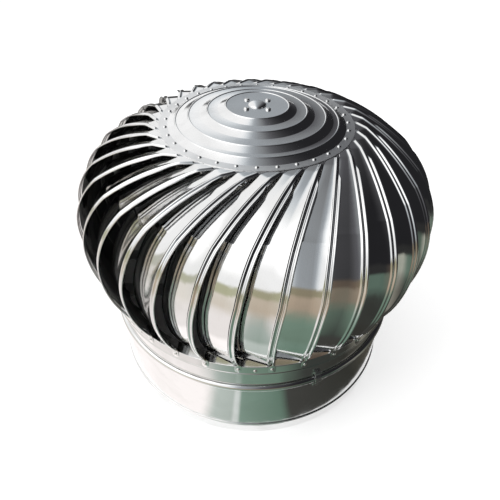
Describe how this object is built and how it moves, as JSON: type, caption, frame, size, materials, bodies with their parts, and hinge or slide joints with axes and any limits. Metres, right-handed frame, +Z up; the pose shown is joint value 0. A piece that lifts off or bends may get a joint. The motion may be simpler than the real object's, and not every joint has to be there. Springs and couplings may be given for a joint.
{
  "type": "roof turbine ventilator",
  "caption": "Wind-driven roof ventilator: a stepped cap and curved vanes spin on a fixed axle above a round duct throat.",
  "frame": {"origin": "centre of the throat's bottom edge, on the axle's line", "axes": "+Z up along the axle; -Y is the side that the reference view shows nearest; the first vane's strip runs inward from azimuth 240 degrees"},
  "size_m": [0.5814, 0.5814, 0.4844],
  "materials": {
    "stainless": "mirror polished",
    "plain_steel": "galvanised, dull",
    "bearing_steel": "ground"
  },
  "bodies": {
    "base": {"throat_lower": "stainless", "throat_upper": "stainless", "lock_band": "stainless", "band_clip": "stainless", "bracket_hub": "plain_steel", "bracket_arms": "plain_steel", "bracket_rivets": "stainless", "axle": "plain_steel", "axle_spacer": "plain_steel", "axle_nuts": "plain_steel", "lower_bearing_inner_ring": "bearing_steel", "upper_bearing_inner_ring": "bearing_steel"},
    "turbine": {"lower_bearing_outer_ring": "bearing_steel", "upper_bearing_outer_ring": "bearing_steel", "lower_bearing_housing": "plain_steel", "spider_arms": "plain_steel", "spider_rivets": "stainless", "bottom_ring": "stainless", "ring_hoop": "stainless", "ring_rivets": "stainless", "top_cap": "stainless", "hub_dome": "stainless", "clamp_ring": "stainless", "cap_rivets": "stainless", "upper_bearing_housing": "plain_steel", "bearing_circlip": "bearing_steel", "housing_screws": "stainless", "vane_01": "stainless", "vane_02": "stainless", "vane_03": "stainless", "vane_04": "stainless", "vane_05": "stainless", "vane_06": "stainless", "vane_07": "stainless", "vane_08": "stainless", "vane_09": "stainless", "vane_10": "stainless", "vane_11": "stainless", "vane_12": "stainless", "vane_13": "stainless", "vane_14": "stainless", "vane_15": "stainless", "vane_16": "stainless", "vane_17": "stainless", "vane_18": "stainless", "vane_19": "stainless", "vane_20": "stainless", "vane_21": "stainless", "vane_22": "stainless", "vane_23": "stainless", "vane_24": "stainless", "vane_25": "stainless", "vane_26": "stainless", "vane_27": "stainless", "vane_28": "stainless", "vane_29": "stainless", "vane_30": "stainless", "vane_31": "stainless", "vane_32": "stainless"}
  },
  "joints": [
    {"name": "turbine_spin", "type": "hinge", "parent": "base", "child": "turbine", "pos_m": [0, 0, 0.178], "axis": [0, 0, 1], "continuous": true}
  ]
}
